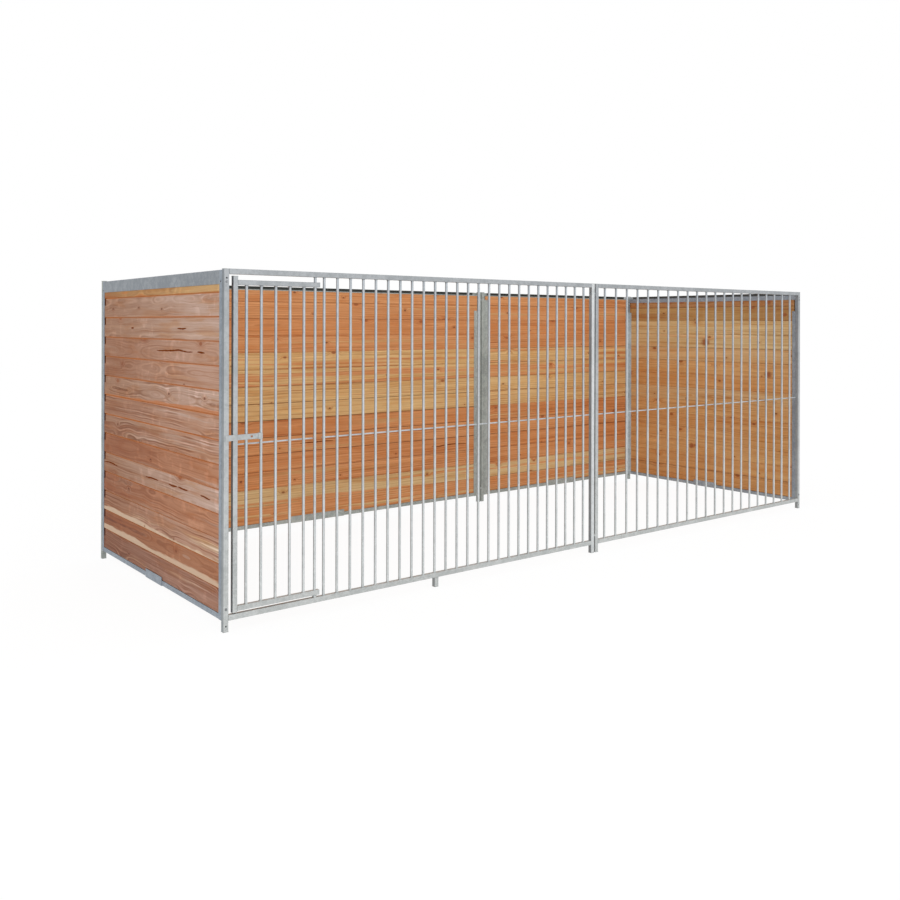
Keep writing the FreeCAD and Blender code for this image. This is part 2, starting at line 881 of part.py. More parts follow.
corner_grip = d.tube + d.sheet
for side, x in (("left", left_x), ("right", right_x - d.tube)):
    middle_x = x + d.tube / 2
    for level, z in zip(("top", "bottom"), bolt_levels):
        bolt(f"front_{side}_{level}_bolt", corner_grip, (middle_x, front_y, z), "y")
        nut(f"front_{side}_{level}_nut", (middle_x, front_y + corner_grip, z), "y")
        bolt(f"back_{side}_{level}_bolt", corner_grip, (middle_x, back_y, z), "-y")
        nut(f"back_{side}_{level}_nut", (middle_x, back_y - corner_grip, z), "-y")

seam_middle_y = {"front": front_middle_y, "back": back_y - d.tube / 2}
seam_start_x = {"front": seam_x - d.tube, "back": back_seam_x - d.tube - d.sheet}
seam_grip = {
    "front": d.tube * 2 + d.seam_gap,
    "back": (d.tube + d.sheet) * 2 + d.seam_gap,
}
spacer_x = {"front": seam_x, "back": back_seam_x}
for side in ("front", "back"):
    for level, z in zip(("top", "bottom"), bolt_levels):
        y = seam_middle_y[side]
        start_x = seam_start_x[side]
        bolt(f"{side}_seam_{level}_bolt", seam_grip[side], (start_x, y, z), "x")
        nut(f"{side}_seam_{level}_nut", (start_x + seam_grip[side], y, z), "x")
        spacer(f"{side}_seam_{level}_spacer", (spacer_x[side], y, z))

group("frame_bolts", bolt_names)
group("frame_nuts", nut_names)
group("seam_spacers", spacer_names)

# Check every piece, then write it

doc.recompute()
for item in doc.Objects:
    if "Invalid" in item.State or "Error" in item.State:
        raise RuntimeError(f"{item.Label} failed to build")
for node in nodes:
    if node.Shape.isNull() or not node.Shape.isValid():
        raise RuntimeError(f"{node.Label} has no valid shape")

os.makedirs("parts", exist_ok=True)
for node in nodes:
    node.Shape.exportStep(f"parts/{node.Label}.step")
print(f"{len(nodes)} nodes, {sum(len(node.Shape.Solids) for node in nodes)} solids")
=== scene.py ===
import math
import random

import bmesh
import bpy
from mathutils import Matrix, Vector


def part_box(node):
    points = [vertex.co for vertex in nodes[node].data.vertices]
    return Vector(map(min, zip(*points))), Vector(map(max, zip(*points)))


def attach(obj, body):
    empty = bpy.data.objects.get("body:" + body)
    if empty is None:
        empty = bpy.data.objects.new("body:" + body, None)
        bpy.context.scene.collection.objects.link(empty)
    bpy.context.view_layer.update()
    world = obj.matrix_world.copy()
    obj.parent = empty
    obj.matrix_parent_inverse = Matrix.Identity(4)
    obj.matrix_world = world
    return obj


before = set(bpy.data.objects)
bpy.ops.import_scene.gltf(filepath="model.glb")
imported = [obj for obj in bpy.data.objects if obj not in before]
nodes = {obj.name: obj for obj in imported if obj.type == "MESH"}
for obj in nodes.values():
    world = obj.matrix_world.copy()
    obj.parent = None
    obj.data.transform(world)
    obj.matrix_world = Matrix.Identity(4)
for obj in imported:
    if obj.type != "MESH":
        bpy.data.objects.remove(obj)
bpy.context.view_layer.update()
print("frame loaded:", len(nodes), "nodes")


# small helpers for shader trees

def toLinear(shade, alpha=1.0):
    parts = [c / 255 for c in shade]
    return tuple(p / 12.92 if p <= 0.04 else ((p + 0.055) / 1.055) ** 2.4 for p in parts) + (alpha,)


def newMaterial(name):
    material = bpy.data.materials.new(name)
    material.use_nodes = True
    tree = material.node_tree
    return material, tree, tree.nodes["Principled BSDF"]


def feed(tree, socket, value):
    if isinstance(value, bpy.types.NodeSocket):
        tree.links.new(value, socket)
    elif value is not None:
        socket.default_value = value


def calc(tree, operation, first, second=None, third=None, clamp=False):
    node = tree.nodes.new("ShaderNodeMath")
    node.operation = operation
    node.use_clamp = clamp
    for socket, value in zip(node.inputs, (first, second, third)):
        feed(tree, socket, value)
    return node.outputs[0]


def product(tree, *values):
    total = values[0]
    for value in values[1:]:
        total = calc(tree, "MULTIPLY", total, value)
    return total


def scaled(tree, value, factor):
    return calc(tree, "MULTIPLY", value, factor)


def split(tree, vector):
    node = tree.nodes.new("ShaderNodeSeparateXYZ")
    feed(tree, node.inputs[0], vector)
    return node.outputs


def join(tree, x, y, z=0.0):
    node = tree.nodes.new("ShaderNodeCombineXYZ")
    for socket, value in zip(node.inputs, (x, y, z)):
        feed(tree, socket, value)
    return node.outputs[0]


def blend(tree, factor, first, second, kind="MIX"):
    node = tree.nodes.new("ShaderNodeMix")
    node.data_type = "RGBA"
    node.blend_type = kind
    feed(tree, node.inputs["Factor"], factor)
    feed(tree, node.inputs[6], first)
    feed(tree, node.inputs[7], second)
    return node.outputs[2]


def tint(tree, tone, share, shade):
    return blend(tree, share, tone, shade + (1,), "MULTIPLY")


def cloud(tree, vector, scale, detail=3.0, roughness=0.5):
    node = tree.nodes.new("ShaderNodeTexNoise")
    feed(tree, node.inputs["Vector"], vector)
    node.inputs["Scale"].default_value = scale
    node.inputs["Detail"].default_value = detail
    node.inputs["Roughness"].default_value = roughness
    return node.outputs["Fac"]


def grainNoise(tree, x, y, z=0.0, detail=3.0, roughness=0.5):
    return cloud(tree, join(tree, x, y, z), 1.0, detail, roughness)


def dice(tree, number):
    node = tree.nodes.new("ShaderNodeTexWhiteNoise")
    node.noise_dimensions = "1D"
    feed(tree, node.inputs["W"], number)
    return split(tree, node.outputs["Color"])


def smooth(tree, value, low, high, outLow=0.0, outHigh=1.0):
    node = tree.nodes.new("ShaderNodeMapRange")
    node.interpolation_type = "SMOOTHSTEP"
    for socket, number in zip(node.inputs, (value, low, high, outLow, outHigh)):
        feed(tree, socket, number)
    return node.outputs[0]


def bumped(tree, shader, height, strength, distance):
    node = tree.nodes.new("ShaderNodeBump")
    node.inputs["Strength"].default_value = strength
    node.inputs["Distance"].default_value = distance
    feed(tree, node.inputs["Height"], height)
    tree.links.new(node.outputs[0], shader.inputs["Normal"])


def ownPlace(tree):
    return tree.nodes.new("ShaderNodeTexCoord").outputs["Object"]


def ownFacing(tree):
    # which way a face looks, in its piece's own axes, so that it stays put when the door turns
    node = tree.nodes.new("ShaderNodeVectorTransform")
    node.vector_type = "NORMAL"
    node.convert_from = "WORLD"
    node.convert_to = "OBJECT"
    feed(tree, node.inputs[0], tree.nodes.new("ShaderNodeNewGeometry").outputs["True Normal"])
    return node.outputs[0]


def dress(name, material):
    for slot in nodes[name].material_slots:
        slot.material = material


# galvanised steel: dull zinc with soft clouds, faint crystals and runs from the bath

frameTone = {"pale": (198, 201, 200), "dark": (176, 180, 179), "runs": 0.12, "paintedTopShade": (0.71, 0.72, 0.76)}

# apart from the bolts, these are lit and shaded copies of one galvanised zinc: each part's tone is painted
# lighter or darker for the light it gets, painted light and painted shade
zincLooks = {
    "frameZinc": {**frameTone, "paintedSideShade": (0.63, 0.66, 0.69)},
    "seamZinc": frameTone,
    # painted light: the door panel's right post is painted lighter than the frame, with stronger painted
    # shade on its sides
    "middleZinc": {
        "pale": (213, 216, 217), "dark": (195, 199, 200), "runs": 0.12, "paintedSideShade": (0.44, 0.46, 0.48),
    },
    "barZinc": {
        "pale": (213, 217, 217), "dark": (194, 199, 199), "runs": 0.12,
        "paintedTopShade": (0.7, 0.72, 0.77), "paintedSideShade": (0.7, 0.71, 0.72),
    },
    # painted shade: the walls' zinc and the top angles are painted darker and bluer than the frame's
    "wallZinc": {"pale": (158, 168, 178), "dark": (130, 140, 151), "runs": 0.08},
    "angleZinc": {"pale": (160, 165, 170), "dark": (128, 135, 142), "runs": 0.0, "paintedHollowShade": (66, 70, 66)},
    "rightAngleZinc": {
        "pale": (158, 168, 178), "dark": (130, 140, 151), "runs": 0.0, "paintedHollowShade": (94, 100, 102),
    },
    "backZinc": {"pale": (174, 179, 174), "dark": (142, 148, 144), "runs": 0.12},
    # painted light: the channels in the back-right corner are painted lighter against the corner's shade
    "paintedLightCornerZinc": {"pale": (204, 211, 214), "dark": (174, 182, 186), "runs": 0.12},
    "rightZinc": {"pale": (168, 178, 186), "dark": (138, 148, 157), "runs": 0.08},
    "boltZinc": {"pale": (158, 160, 162), "dark": (106, 110, 114), "runs": 0.0},
}

zincFinish = {
    "crystalSize": 0.011, "crystalShare": 0.16, "crystalRough": 0.12,
    "broadPatches": (5.0, 4.0, 0.55), "smallPatches": (26.0, 4.0, 0.6), "patchShare": 0.5,
    "runsAcross": 70.0, "runsDown": 3.0, "toneSpan": (0.46, 0.82),
    "topSpan": (-0.2, 2.0), "sideSpan": (0.6, 1.0), "inwardSpan": (-0.05, -0.3), "underSpan": (-0.3, -0.6),
    "metallic": 0.3, "roughness": 0.5, "pimples": (220.0, 2.0), "bump": (0.05, 0.001),
}


def zincMaterial(name, look):
    material, tree, shader = newMaterial(name)
    place = ownPlace(tree)
    parts = split(tree, place)
    crystals = tree.nodes.new("ShaderNodeTexVoronoi")
    feed(tree, crystals.inputs["Vector"], place)
    crystals.inputs["Scale"].default_value = 1 / zincFinish["crystalSize"]
    grain = split(tree, crystals.outputs["Color"])[0]
    broad = scaled(tree, cloud(tree, place, *zincFinish["broadPatches"]), zincFinish["patchShare"])
    small = scaled(tree, cloud(tree, place, *zincFinish["smallPatches"]), zincFinish["patchShare"])
    sideways = scaled(tree, calc(tree, "ADD", parts[0], parts[1]), zincFinish["runsAcross"])
    runs = grainNoise(tree, sideways, scaled(tree, parts[2], zincFinish["runsDown"]))
    mixed = calc(tree, "MULTIPLY_ADD", grain, zincFinish["crystalShare"], calc(tree, "ADD", broad, small))
    mixed = calc(tree, "MULTIPLY_ADD", runs, look["runs"], mixed)
    paleness = smooth(tree, mixed, *zincFinish["toneSpan"])
    tone = blend(tree, paleness, toLinear(look["dark"]), toLinear(look["pale"]))
    if "paintedTopShade" in look:
        # painted shade: the front frames are painted darker towards the top, standing in for more light
        # near the ground
        tone = tint(tree, tone, smooth(tree, parts[2], *zincFinish["topSpan"]), look["paintedTopShade"])
    if "paintedSideShade" in look:
        # painted shade: the sides of tubes and bars that look along the front are painted darker, as though
        # lit from the front
        sideFacing = calc(tree, "ABSOLUTE", split(tree, ownFacing(tree))[0])
        tone = tint(tree, tone, smooth(tree, sideFacing, *zincFinish["sideSpan"]), look["paintedSideShade"])
    if "paintedHollowShade" in look:
        # painted shade: the faces that look into the kennel and the faces that look down are painted dark
        # for the shade in the hollow over the boards
        facing = split(tree, ownFacing(tree))
        outward = calc(tree, "ADD", product(tree, facing[0], parts[0]), product(tree, facing[1], parts[1]))
        inward = smooth(tree, outward, *zincFinish["inwardSpan"])
        under = smooth(tree, facing[2], *zincFinish["underSpan"])
        tone = blend(tree, calc(tree, "MAXIMUM", inward, under), tone, toLinear(look["paintedHollowShade"]))
    feed(tree, shader.inputs["Base Color"], tone)
    shader.inputs["Metallic"].default_value = zincFinish["metallic"]
    smoothest = zincFinish["roughness"] - zincFinish["crystalRough"] / 2
    rough = calc(tree, "MULTIPLY_ADD", grain, zincFinish["crystalRough"], smoothest)
    feed(tree, shader.inputs["Roughness"], rough)
    pimples = cloud(tree, place, *zincFinish["pimples"])
    bumped(tree, shader, calc(tree, "ADD", grain, pimples), *zincFinish["bump"])
    return material


# stacked larch boards: rings of a sawn log, heartwood and sapwood, knots, resin cracks and seams

tones = {
    # inside of the back and of the right wall
    "orange": (211, 147, 95),
    "deepOrange": (206, 138, 85),
    "amber": (208, 158, 104),
    "honey": (218, 178, 122),
    "paleHoney": (214, 182, 132),
    "russet": (178, 128, 82),
    "tan": (186, 146, 92),
    "straw": (216, 186, 136),
    "toffee": (216, 177, 127),
    "ochre": (217, 169, 112),
    "copper": (211, 158, 101),
    # weathered outside
    "gold": (204, 162, 108),
    "stripOrange": (212, 148, 86),
    "rosyPale": (200, 168, 150),
    "rosy": (194, 153, 130),
    "rosyBrown": (187, 131, 97),
    "umberRose": (177, 121, 86),
    "greyRose": (170, 127, 107),
    "cream": (226, 200, 172),
    "freshOrange": (198, 117, 56),
    # marks
    "seamDark": (112, 68, 34),
    "seamOrange": (202, 122, 56),
    "crackBrown": (120, 60, 28),
    # painted shade at the ends of the boards
    "endShadeBrown": (78, 36, 18),
    "knotDark": (92, 48, 26),
    "knotRusset": (150, 82, 42),
}

# heartwood, sapwood and share of sapwood of each course, from the top down
insideCourses = [
    ("orange", "amber", 0.15), ("orange", "amber", 0.25), ("deepOrange", "orange", 0.4),
    ("orange", "amber", 0.3), ("orange", "honey", 0.6), ("orange", "honey", 0.5),
    ("amber", "honey", 0.75), ("amber", "honey", 0.7),
    ("deepOrange", "amber", 0.3), ("orange", "amber", 0.15), ("deepOrange", "orange", 0.4),
    ("orange", "amber", 0.25), ("orange", "paleHoney", 0.65), ("orange", "paleHoney", 0.4),
]
rightCourses = [
    ("russet", "tan", 0.3), ("tan", "russet", 0.25), ("straw", "toffee", 0.25), ("straw", "toffee", 0.3),
    ("toffee", "ochre", 0.3), ("ochre", "copper", 0.4), ("copper", "ochre", 0.3), ("toffee", "ochre", 0.4),
    ("ochre", "copper", 0.3), ("copper", "ochre", 0.3), ("ochre", "copper", 0.4), ("ochre", "copper", 0.3),
    ("copper", "ochre", 0.4), ("copper", "russet", 0.2),
]
# the same outside, and half the depth of the figure
outsideCourses = [
    ("gold", "stripOrange", 0.5, 0.3), ("rosyPale", "rosy", 0.3, 0.4), ("rosyPale", "rosy", 0.25, 0.25),
    ("rosy", "rosyPale", 0.3, 0.3), ("rosy", "rosyPale", 0.3, 0.5), ("rosyPale", "rosy", 0.3, 0.9),
    ("rosy", "rosyPale", 0.3, 0.75), ("rosy", "rosyPale", 0.3, 0.9), ("rosyBrown", "rosy", 0.3, 0.35),
    ("rosyPale", "rosy", 0.4, 0.35), ("rosyBrown", "rosy", 0.3, 0.5), ("rosy", "cream", 0.35, 0.65),
    ("umberRose", "rosy", 0.3, 0.7), ("greyRose", "rosyPale", 0.25, 0.65),
]

boardStack = {
    "cover": 0.126, "courses": 14, "startSlack": 0.0003, "faceSpan": (-0.004, 0.004),
    "boardsApart": 40.0, "secondSeed": 100.3, "sameCourse": 0.4,
}

backBoards = {
    "alongAxis": 0, "outSign": 1, "inside": insideCourses, "weathered": False,
    "knots": 0.5, "knotSpread": 0.012, "pithSpread": 0.2, "wander": 0.08, "wave": 0.04,
    "ringStep": 0.017, "fineRings": 3.1, "ringDepth": 0.75, "patchDepth": 0.65, "streakPace": 55.0,
    "edges": [], "bigKnots": [],
}

boardWalls = {
    "left_wall": {
        "alongAxis": 1, "outSign": -1, "seed": 3.1, "inside": insideCourses, "weathered": True,
        "knots": 0.4, "knotSpread": 0.014, "pithSpread": 0.06, "wander": 0.24, "wave": 0.09,
        "ringStep": 0.021, "fineRings": 1.7, "ringDepth": 0.75, "patchDepth": 0.85, "streakPace": 45.0,
        # course from the bottom, middle along the wall and length of each resin crack
        "cracks": [
            (11, -0.40, 0.13), (11, 0.37, 0.05), (10, -0.29, 0.54), (10, -0.66, 0.10), (4, 0.76, 0.26),
            (4, 0.04, 0.21), (4, -0.28, 0.13), (4, -0.42, 0.14), (4, -0.72, 0.13),
        ],
        # course from the bottom, tone, and the width at the front and at the back of each lower edge
        "edges": [
            (8, "freshOrange", 0.024, 0.006), (2, "cream", 0.008, 0.032), (1, "cream", 0.030, 0.033),
        ],
        "bigKnots": [],
    },
    "right_wall": {
        "alongAxis": 1, "outSign": 1, "seed": 17.7, "inside": rightCourses, "weathered": False,
        "knots": 0.8, "knotSpread": 0.014, "pithSpread": 0.14, "wander": 0.1, "wave": 0.05,
        "ringStep": 0.015, "fineRings": 3.1, "ringDepth": 0.6, "patchDepth": 0.65, "streakPace": 60.0,
        "cracks": [], "edges": [],
        # course from the bottom, place along the wall, place across the board and radius
        "bigKnots": [
            (13, 0.42, -0.006, 0.034), (13, 0.27, -0.004, 0.03), (13, -0.66, -0.02, 0.03),
            (13, -0.52, 0.0, 0.026), (12, -0.82, -0.01, 0.022), (10, 0.0, -0.01, 0.042),
            (8, -0.66, -0.03, 0.036), (2, 0.15, 0.02, 0.03),
        ],
    },
    "back_left_wall": {**backBoards, "seed": 41.3, "cracks": [(4, -1.0, 0.3), (3, 0.3, 0.4)]},
    "back_right_wall": {**backBoards, "seed": 58.9, "cracks": []},
}


def boardPlaces(tree, wallName, wall):
    # where a point lies on its board: along it, across it, in its course and towards the outside
    axis, cover = wall["alongAxis"], boardStack["cover"]
    place = split(tree, ownPlace(tree))
    low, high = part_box(wallName + "_boards")
    middle = (low[1 - axis] + high[1 - axis]) / 2
    outward = scaled(tree, calc(tree, "SUBTRACT", place[1 - axis], middle), wall["outSign"])
    height = calc(tree, "SUBTRACT", place[2], low[2] - boardStack["startSlack"])
    stack = calc(tree, "DIVIDE", height, cover)
    course = calc(tree, "FLOOR", stack)
    luck = dice(tree, calc(tree, "ADD", course, wall["seed"]))
    return {
        "along": place[axis], "ends": (low[axis], high[axis]), "stack": stack, "course": course,
        "across": scaled(tree, calc(tree, "SUBTRACT", calc(tree, "FRACT", stack), 0.5), cover),
        "ownAlong": calc(tree, "MULTIPLY_ADD", luck[0], boardStack["boardsApart"], place[axis]),
        "luck": luck,
        "moreLuck": dice(tree, calc(tree, "ADD", course, wall["seed"] + boardStack["secondSeed"])),
        "outward": outward, "isOutside": smooth(tree, outward, *boardStack["faceSpan"]),
    }


def boardNoise(tree, board, paces, depth=0.0, detail=3.0, roughness=0.5):
    # noise with one pace along the board and one across it
    along = scaled(tree, board["ownAlong"], paces[0])
    across = scaled(tree, board["across"], paces[1])
    return grainNoise(tree, along, across, depth, detail, roughness)


def onCourse(tree, board, level):
    return calc(tree, "COMPARE", board["course"], float(level), boardStack["sameCourse"])


def squaresOf(tree, first, second):
    return calc(tree, "ADD", product(tree, first, first), product(tree, second, second))


knotLook = {
    "pace": 2.2, "boardsApart": 9.0, "stretch": 1.5, "squeeze": 1.25, "smallest": 0.0045,
    "raggedPaces": (150.0, 150.0), "ragged": 0.005, "coreSpan": (1.2, 0.6), "coreShare": 0.85,
    "haloSpan": (3.8, 0.9), "haloShare": 0.5, "haloTint": (0.82, 0.58, 0.4), "russetSpan": (0.5, 0.8),
}


def knotMasks(tree, wall, board):
    # one chance of a knot in each 0.45 m of board, at the cell's own point
    cell = tree.nodes.new("ShaderNodeTexVoronoi")
    cell.voronoi_dimensions = "2D"
    cell.inputs["Scale"].default_value = 1.0
    lift = calc(tree, "MULTIPLY_ADD", board["course"], knotLook["boardsApart"], board["stack"])
    spot = join(tree, scaled(tree, board["ownAlong"], knotLook["pace"]), lift)
    feed(tree, cell.inputs["Vector"], spot)
    here = split(tree, spot)
    knotAt = split(tree, cell.outputs["Position"])
    luck = split(tree, cell.outputs["Color"])
    alongPace = knotLook["pace"] * knotLook["stretch"]
    knotAlong = calc(tree, "DIVIDE", calc(tree, "SUBTRACT", knotAt[0], here[0]), alongPace)
    acrossScale = boardStack["cover"] * knotLook["squeeze"]
    knotAcross = scaled(tree, calc(tree, "SUBTRACT", knotAt[1], here[1]), acrossScale)
    reach = calc(tree, "SQRT", squaresOf(tree, knotAlong, knotAcross))
    reach = calc(tree, "SUBTRACT", reach, knotLook["ragged"] / 2)
    ragged = boardNoise(tree, board, knotLook["raggedPaces"])
    reach = calc(tree, "MULTIPLY_ADD", ragged, knotLook["ragged"], reach)
    present = calc(tree, "LESS_THAN", luck[0], wall["knots"])
    luckSquared = product(tree, luck[1], luck[1])
    size = calc(tree, "MULTIPLY_ADD", luckSquared, wall["knotSpread"], knotLook["smallest"])
    closeness = calc(tree, "DIVIDE", reach, size)
    core = product(tree, smooth(tree, closeness, *knotLook["coreSpan"]), present)
    halo = product(tree, smooth(tree, closeness, *knotLook["haloSpan"]), present)
    russet = smooth(tree, luck[1], *knotLook["russetSpan"])
    coreTone = blend(tree, russet, toLinear(tones["knotDark"]), toLinear(tones["knotRusset"]))
    return core, halo, coreTone


bigKnotLook = {"raggedPace": 40.0, "stretch": 1.3, "span": (1.7, 0.5), "share": 0.9}


def bigKnotMask(tree, wall, board):
    total = None
    raggedAlong = scaled(tree, board["along"], bigKnotLook["raggedPace"])
    ragged = grainNoise(tree, raggedAlong, scaled(tree, board["across"], bigKnotLook["raggedPace"]))
    for level, middle, lift, radius in wall["bigKnots"]:
        wide = radius * bigKnotLook["stretch"]
        side = calc(tree, "DIVIDE", calc(tree, "SUBTRACT", board["along"], middle), wide)
        rise = calc(tree, "DIVIDE", calc(tree, "SUBTRACT", board["across"], lift), radius)
        edge = calc(tree, "ADD", squaresOf(tree, side, rise), ragged)
        mask = product(tree, smooth(tree, edge, *bigKnotLook["span"]), onCourse(tree, board, level))
        total = mask if total is None else calc(tree, "MAXIMUM", total, mask)
    return total


crackLook = {
    "wigglePace": 4.5, "wiggle": 0.034, "raggedPace": 22.0, "narrowest": 0.0025, "ragged": 0.007,
    "span": (1.15, 0.45), "tipSpan": (0.0, 0.12), "hairline": 0.0001, "depth": 1.5,
}


def crackMask(tree, wall, board):
    along, course = board["along"], board["course"]
    wiggle = grainNoise(tree, scaled(tree, along, crackLook["wigglePace"]), course, 0.0, 1.5)
    wiggle = calc(tree, "SUBTRACT", wiggle, 0.5)
    gap = calc(tree, "ABSOLUTE", calc(tree, "MULTIPLY_ADD", wiggle, -crackLook["wiggle"], board["across"]))
    ragged = grainNoise(tree, scaled(tree, along, crackLook["raggedPace"]), course, 0.0, 2.0)
    broadest = calc(tree, "MULTIPLY_ADD", ragged, crackLook["ragged"], crackLook["narrowest"])
    total = None
    for level, middle, length in wall["cracks"]:
        share = calc(tree, "DIVIDE", calc(tree, "SUBTRACT", along, middle), length / 2)
        taper = calc(tree, "SUBTRACT", 1.0, product(tree, share, share), clamp=True)
        width = product(tree, broadest, calc(tree, "SQRT", taper))
        closeness = calc(tree, "DIVIDE", gap, calc(tree, "ADD", width, crackLook["hairline"]))
        inside = smooth(tree, closeness, *crackLook["span"])
        tips = smooth(tree, taper, *crackLook["tipSpan"])
        mask = product(tree, inside, onCourse(tree, board, level), tips)
        total = mask if total is None else calc(tree, "MAXIMUM", total, mask)
    return total


edgeLook = {"paces": (3.4, 20.0), "waver": 1.6, "least": 0.2, "soft": 0.005, "share": 0.75}


def edgeMask(tree, board, level, frontWidth, backWidth):
    fromLower = calc(tree, "ADD", board["across"], boardStack["cover"] / 2)
    width = smooth(tree, board["along"], *board["ends"], frontWidth, backWidth)
    waver = boardNoise(tree, board, edgeLook["paces"])
    width = product(tree, width, calc(tree, "MULTIPLY_ADD", waver, edgeLook["waver"], edgeLook["least"]))
    past = calc(tree, "SUBTRACT", fromLower, width)
    mask = smooth(tree, past, edgeLook["soft"], -edgeLook["soft"])
    return product(tree, mask, onCourse(tree, board, level), board["isOutside"])


pithLook = {"driftPace": 0.55, "bendPace": 3.2, "swayPaces": (1.6, 9.0), "sway": 0.03, "knotSwell": 0.02}


def pithDistance(tree, wall, board, halo):
    # distance from the log's pith, which drifts along the board
    ownAlong, luck = board["ownAlong"], board["luck"]
    sway = boardNoise(tree, board, pithLook["swayPaces"])
    pithAcross = scaled(tree, calc(tree, "SUBTRACT", luck[1], 0.5), wall["pithSpread"] * 2)
    swayed = calc(tree, "MULTIPLY_ADD", sway, pithLook["sway"], board["across"])
    fromPith = calc(tree, "SUBTRACT", swayed, pithAcross)
    drift = grainNoise(tree, scaled(tree, ownAlong, pithLook["driftPace"]), luck[2], 0.0, 2.0, 0.4)
    bend = grainNoise(tree, scaled(tree, ownAlong, pithLook["bendPace"]), luck[1], 0.0, 1.0)
    pithDepth = board["outward"]
    for swing, size in ((drift, wall["wander"]), (bend, wall["wave"])):
        pithDepth = calc(tree, "MULTIPLY_ADD", calc(tree, "SUBTRACT", swing, 0.5), size, pithDepth)
    distance = calc(tree, "SQRT", squaresOf(tree, fromPith, pithDepth))
    return calc(tree, "MULTIPLY_ADD", halo, pithLook["knotSwell"], distance)


ringLook = {
    "ripplePaces": (3.4, 22.0), "coursesApart": 37.0, "depthSpread": 0.8, "leastDepth": 0.2,
    "lateRise": (0.3, 0.85), "lateFall": (1.0, 0.9), "earlyRise": (0.0, 0.1), "earlyFall": (0.5, 0.2),
}


def ringMasks(tree, board, radius, step):
    # the dark late wood of each ring and the pale early wood that follows it
    ripple = boardNoise(tree, board, ringLook["ripplePaces"])
    count = calc(tree, "MULTIPLY_ADD", radius, 1 / step, ripple)
    ring = calc(tree, "FRACT", count)
    number = calc(tree, "FLOOR", count)
    luck = dice(tree, calc(tree, "MULTIPLY_ADD", board["course"], ringLook["coursesApart"], number))
    depth = calc(tree, "MULTIPLY_ADD", luck[0], ringLook["depthSpread"], ringLook["leastDepth"])
    masks = []
    for kind in ("late", "early"):
        rise = smooth(tree, ring, *ringLook[kind + "Rise"])
        fall = smooth(tree, ring, *ringLook[kind + "Fall"])
        masks.append(product(tree, rise, fall, depth))
    return masks


def courseRamp(tree, factor, courses, kind, share):
    # the tones of one kind, with a share of each course as alpha
    node = tree.nodes.new("ShaderNodeValToRGB")
    node.color_ramp.interpolation = "CONSTANT"
    stops = node.color_ramp.elements
    while len(stops) < len(courses):
        stops.new(0.5)
    for index, (stop, entry) in enumerate(zip(stops, reversed(courses))):
        stop.position = index / len(courses)
        stop.color = toLinear(tones[entry[kind]], entry[share])
    feed(tree, node.inputs[0], factor)
    return node.outputs


sapLook = {
    "acrossPace": 26.0, "alongPace": 0.4, "limit": 0.71, "limitFall": -0.42, "softSpan": (-0.035, 0.035),
    "paintedBackShade": (0.66, 0.51, 0.38),
}


def heartAndSap(tree, wall, board, radius):
    # heartwood and sapwood of each course, inside and outside
    bandAcross = scaled(tree, radius, sapLook["acrossPace"])
    bandAlong = scaled(tree, board["ownAlong"], sapLook["alongPace"])
    band = grainNoise(tree, bandAcross, bandAlong, board["course"], 5.0, 0.6)
    ladder = calc(tree, "DIVIDE", calc(tree, "ADD", board["course"], 0.5), boardStack["courses"])
    faces = []
    for courses in (wall["inside"], outsideCourses):
        heart = courseRamp(tree, ladder, courses, 0, -1)
        sapwood = courseRamp(tree, ladder, courses, 1, 2)
        limit = calc(tree, "MULTIPLY_ADD", sapwood[1], sapLook["limitFall"], sapLook["limit"])
        share = smooth(tree, calc(tree, "SUBTRACT", band, limit), *sapLook["softSpan"])
        faces.append(blend(tree, share, heart[0], sapwood[0]))
    if wall["weathered"]:
        # painted light: the weathered face is painted paler towards the front and darker towards the back,
        # standing in for more light near the front
        towardsBack = smooth(tree, board["along"], *board["ends"])
        faces[1] = tint(tree, faces[1], towardsBack, sapLook["paintedBackShade"])
    # the last heartwood is the outside's, and its alpha is half the depth of the figure
    figure = product(tree, heart[1], 2.0, board["isOutside"])
    return blend(tree, board["isOutside"], *faces), figure


patchLook = {
    "paces": (2.2, 16.0), "warmSpan": (0.48, 0.66), "warmTint": (0.93, 0.77, 0.58),
    "paleSpan": (0.5, 0.34), "paleTint": (1.06, 1.1, 1.16),
}
streakLook = {
    "alongPace": 0.7, "darkRange": (0.5, 0.3, 0.0, 0.8), "darkTint": (0.76, 0.59, 0.43),
    "paleRange": (0.52, 0.72, 0.0, 0.7), "paleTint": (1.2, 1.24, 1.24),
}


def patchedTone(tree, wall, board, radius, tone):
    # warm and pale patches, then streaks that follow the rings
    depth = wall["patchDepth"]
    patch = boardNoise(tree, board, patchLook["paces"], board["course"], 3.0, 0.55)
    tone = tint(tree, tone, smooth(tree, patch, *patchLook["warmSpan"], 0.0, depth), patchLook["warmTint"])
    tone = tint(tree, tone, smooth(tree, patch, *patchLook["paleSpan"], 0.0, depth), patchLook["paleTint"])
    streakAcross = scaled(tree, radius, wall["streakPace"])
    streakAlong = scaled(tree, board["ownAlong"], streakLook["alongPace"])
    streak = grainNoise(tree, streakAcross, streakAlong, board["course"], 3.0, 0.6)
    tone = tint(tree, tone, smooth(tree, streak, *streakLook["darkRange"]), streakLook["darkTint"])
    return tint(tree, tone, smooth(tree, streak, *streakLook["paleRange"]), streakLook["paleTint"])


figureLook = {
    "paces": (2.4, 8.0), "range": (0.42, 0.6, 0.15, 1.0), "paleShare": 0.4, "fineShare": 0.5,
    "paleTint": (1.24, 1.28, 1.34), "darkTint": (0.66, 0.51, 0.39),
    "freshSpread": 0.6, "freshLeast": 0.6, "allFineShare": 0.2, "allFineTint": (0.74, 0.61, 0.51),
}


